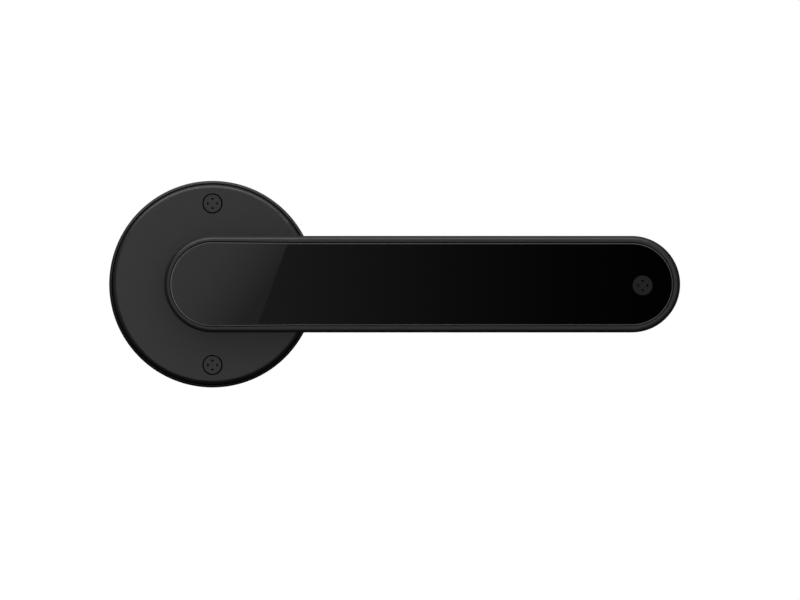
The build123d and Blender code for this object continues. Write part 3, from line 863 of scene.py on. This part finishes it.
@dataclass
class KeyPanel(SubAssembly):
    """The glass that fills the lever's face, with what lies under it and the screw that holds it."""

    unworn_mm: float = 400.0
    screw_face_mm: float = 54.75
    screw_ior: float = 1.33

    def finishes(self) -> dict[Finish, tuple[str, ...]]:
        """Polished glass, dark film, board and lamps."""
        # The screw's drive hole gets painted shade.
        screw = Enamel(
            "panel_screw_enamel",
            SCREW_BLACK,
            EdgeLine.ROUND,
            self.unworn_mm,
            self.screw_face_mm,
            speck_mm=SCREW_SPECK_MM,
            ior=self.screw_ior,
        )
        return {
            PanelGlass("panel_glass"): ("glass_panel",),
            screw: ("panel_screw",),
            SEAL_RUBBER: ("glass_gasket",),
            MASK_FILM: ("light_mask",),
            Lamp("key_lamp"): ("key_lights",),
            SOLDER_MASK: ("touch_board",),
            TRAY_PLASTIC: ("panel_tray",),
        }


@dataclass
class Electronics(SubAssembly):
    """Controller board, cells and their wiring inside the arm."""

    def finishes(self) -> dict[Finish, tuple[str, ...]]:
        """Board, chips, wires and cells."""
        return {
            SOLDER_MASK: ("controller_board",),
            CHIP_EPOXY: ("board_chips", "buzzer"),
            NICKEL_PLATE: ("board_screws", "battery_contacts"),
            FlatFilm("cable_film"): ("flat_cable",),
            SILICONE: ("motor_leads", "battery_leads"),
            TRAY_PLASTIC: ("battery_holder",),
            CellWrap("cell_wrap"): ("battery_cells",),
        }


@dataclass
class Drive(SubAssembly):
    """Clutch motor, clutch and the spindle that it joins to the lever."""

    def finishes(self) -> dict[Finish, tuple[str, ...]]:
        """Bare and plated metal."""
        return {
            MOTOR_STEEL: ("clutch_motor",),
            TRAY_PLASTIC: ("motor_mount",),
            TURNED_STEEL: ("clutch_screw", "spindle_pin"),
            CAST_ZINC: ("clutch_slider", "spindle_hub"),
            ZINC_PLATE: ("spindle",),
        }


def staged(name: str, corners: Iterable[Point], material: bpy.types.Material) -> bpy.types.Object:
    """Make a flat sheet that isn't part of the lock.

    Args:
        name: its name.
        corners: its corners in order.
        material: its material.

    Returns:
        The object, marked as staging.
    """
    mesh = bpy.data.meshes.new(name)
    points = list(corners)
    mesh.from_pydata(points, [], [tuple(range(len(points)))])
    mesh.materials.append(material)
    sheet = bpy.data.objects.new(name, mesh)
    bpy.context.scene.collection.objects.link(sheet)
    sheet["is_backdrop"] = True
    return sheet


@dataclass
class Softbox:
    """Far sheet that the glass mirrors: a bright end cut off at a slant, then a long fading band."""

    distance: float = 0.30
    left: float = -0.03
    right: float = 0.16
    half_height: float = 0.03
    cut_mm: float = 18.99
    cut_lean: float = 0.367
    cut_soft_mm: float = 0.25
    bright_from_mm: float = -14.0
    bright_length_mm: float = 32.0
    bright_fall: float = 0.022
    bright: Levels = ((0.0, 0.84), (0.30, 0.79), (0.52, 0.68), (0.75, 0.54), (1.0, 0.36))
    fading_from_mm: float = 16.0
    fading_length_mm: float = 120.0
    fading: Levels = ((0.0, 0.235), (0.25, 0.150), (0.5, 0.082), (0.78, 0.034), (1.0, 0.010))

    def cloth(self) -> bpy.types.Material:
        """The glowing cloth."""
        material = bpy.data.materials.new("softbox_cloth")
        tree = Tree(material)
        x, _, z = tree.place()
        past_cut = x - z * self.cut_lean - self.cut_mm
        along_bright = (x - self.bright_from_mm) / self.bright_length_mm - z * self.bright_fall
        along_fading = (x - self.fading_from_mm) / self.fading_length_mm
        seen = tree.mix(
            past_cut.step(-self.cut_soft_mm, self.cut_soft_mm),
            tree.ramp(along_bright, self.bright),
            tree.ramp(along_fading, self.fading),
        )
        glow = tree.node("ShaderNodeEmission", inputs={"Color": seen, "Strength": 1.0})
        tree.node_output("ShaderNodeOutputMaterial", glow)
        return material

    def build(self) -> None:
        """Hang the sheet in front of the lever, seen only in mirrored rays."""
        spots = (
            (self.left, -self.half_height),
            (self.right, -self.half_height),
            (self.right, self.half_height),
            (self.left, self.half_height),
        )
        sheet = staged("softbox", [(x, -self.distance, z) for x, z in spots], self.cloth())
        sheet.visible_camera = False
        sheet.visible_diffuse = False
        sheet.visible_shadow = False


@dataclass
class Studio:
    """Pale floor, soft lights, softbox and camera."""

    shop: PaintShop
    centre: Point = (0.05912, 0.0, -0.00498)
    width: float = 0.2522
    camera_distance: float = 1.0
    floor_z: float = -0.112
    floor_reach: float = 6.0
    floor_colours: tuple[Colour, Colour] = ((0.80, 0.80, 0.80), (0.84, 0.84, 0.84))
    sky: float = 0.40
    sky_band: Band = (0.50, 0.98)
    ground: float = 0.028
    glow: float = 1.20
    glow_band: Band = (0.87, 0.997)
    glow_lift_deg: float = 6.0
    light_distance: float = 2.2
    rose_key: Point = (-0.11, -0.56, 0.80)
    rose_key_size: tuple[float, float] = (4.0, 0.80)
    rose_power: float = 52.0
    lever_key: Point = (-0.156, -0.719, 0.677)
    lever_key_size: tuple[float, float] = (2.0, 0.32)
    lever_power: float = 24.0
    back_way: Point = (0.10, 1.0, 0.0)
    back_size: tuple[float, float] = (0.7, 0.7)
    bright_power: float = 9.0
    dark_power: float = 36.0

    def build(self) -> None:
        """Build everything that isn't part of the lock."""
        self.world()
        self.floor()
        self.key()
        self.back()
        Softbox().build()
        self.camera()
        bpy.context.scene.view_settings.view_transform = "Standard"

    def world(self) -> None:
        """White to the camera, a dim sky that is brighter above for everything else."""
        world = bpy.data.worlds.new("studio_air")
        bpy.context.scene.world = world
        tree = Tree(world)
        way = tree.node("ShaderNodeTexCoord", output="Generated")
        lift = math.radians(self.glow_lift_deg)
        ahead = (0.0, -math.cos(lift), math.sin(lift))
        toward = {"operation": "DOT_PRODUCT"}
        up = tree.node("ShaderNodeVectorMath", toward, {0: way, 1: (0, 0, 1)}, "Value")
        front = tree.node("ShaderNodeVectorMath", toward, {0: way, 1: ahead}, "Value")
        dim = self.ground + self.sky * up.step(*self.sky_band) + front.step(*self.glow_band) * self.glow
        strength = tree.node("ShaderNodeLightPath", output="Is Camera Ray").high(dim)
        shade = tree.node("ShaderNodeBackground", inputs={"Color": (1, 1, 1, 1), "Strength": strength})
        tree.node_output("ShaderNodeOutputWorld", shade)

    def floor(self) -> None:
        """Wide pale floor that doesn't throw light back up."""
        material = bpy.data.materials.new("floor_paper")
        tree = Tree(material)
        base = tree.mix(tree.grain(60.0, 2.0), *self.floor_colours)
        tree.surface({}, {"Base Color": base, "Roughness": 0.85 + tree.grain(3.0, 2.0) * 0.1})
        reach = self.floor_reach
        corners = [(x * reach, y * reach, self.floor_z) for x, y in ((-1, -1), (1, -1), (1, 1), (-1, 1))]
        sheet = staged("floor", corners, material)
        sheet.visible_diffuse = False
        sheet.visible_glossy = False

    def area(self, name: str, toward: Point, size: tuple[float, float], power: float) -> bpy.types.Object:
        """Make a soft rectangular light aimed at the lock.

        Args:
            name: its name.
            toward: direction from the lock to the light.
            size: its width and height.
            power: its power in watts.

        Returns:
            The light object.
        """
        lamp = bpy.data.lights.new(name, "AREA")
        lamp.shape = "RECTANGLE"
        lamp.size, lamp.size_y = size
        lamp.energy = power
        made = bpy.data.objects.new(name, lamp)
        direction = Vector(toward).normalized()
        made.location = Vector((self.centre[0], 0.0, 0.0)) + direction * self.light_distance
        made.rotation_euler = direction.to_track_quat("Z", "Y").to_euler()
        bpy.context.scene.collection.objects.link(made)
        return made

    @staticmethod
    def group(name: str, pieces: Iterable[bpy.types.Object]) -> bpy.types.Collection:
        """Collect the pieces that one light works on.

        Args:
            name: the collection's name.
            pieces: the pieces.

        Returns:
            The collection.
        """
        made = bpy.data.collections.new(name)
        for piece in pieces:
            made.objects.link(piece)
        return made

    def key(self) -> None:
        """High front lights, a little to the left, that give the soft edges their line.

        One lights the fixed body and one the rest, each shaded only by what it lights, so that the
        lever's long shadow doesn't hide the rose.
        """
        still = [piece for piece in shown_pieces() if body_of(piece) == ["rose"]]
        moving = [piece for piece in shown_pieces() if body_of(piece) != ["rose"]]
        for name, lit, toward, size, power in (
            ("key_rose", still, self.rose_key, self.rose_key_size, self.rose_power),
            ("key_lever", moving, self.lever_key, self.lever_key_size, self.lever_power),
        ):
            made = self.area(name, toward, size, power)
            group = self.group(name, lit)
            made.light_linking.receiver_collection = group
            made.light_linking.blocker_collection = group

    def back(self) -> None:
        """Soft lights from behind the door side, for looking at the fixings.

        The enamel and the glass get one that they don't mirror, so that no glint creeps round their
        edges.
        """
        names = self.shop.dark()
        dark = [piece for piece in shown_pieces() if piece.name in names]
        bright = [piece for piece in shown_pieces() if piece.name not in names]
        for name, lit, mirrored, power in (
            ("back_dark", dark, False, self.dark_power),
            ("back_bright", bright, True, self.bright_power),
        ):
            made = self.area(name, self.back_way, self.back_size, power)
            made.visible_glossy = mirrored
            made.light_linking.receiver_collection = self.group(name, lit)

    def camera(self) -> None:
        """Level view straight at the lever's face, with no perspective."""
        lens = bpy.data.cameras.new("front_view")
        lens.type = "ORTHO"
        lens.ortho_scale = self.width
        made = bpy.data.objects.new("front_view", lens)
        made.location = (self.centre[0], -self.camera_distance, self.centre[2])
        made.rotation_euler = (math.pi / 2, 0.0, 0.0)
        bpy.context.scene.collection.objects.link(made)
        bpy.context.scene.camera = made


def main() -> None:
    """Build the whole scene in order."""
    logging.basicConfig(level=logging.INFO, format="%(name)s: %(message)s")
    shop = PaintShop()
    for kind in (Rose, Lever, KeyPanel, Electronics, Drive):
        kind(frame["nodes"], shop).dress()
        LOG.info("%s dressed", kind.__name__)
    bare = sorted(set(frame["nodes"]) - set(shop.worn))
    if bare:
        raise ValueError(f"no finish for {bare}")
    Studio(shop).build()
    LOG.info("studio built")


if __name__ == "__main__":
    main()
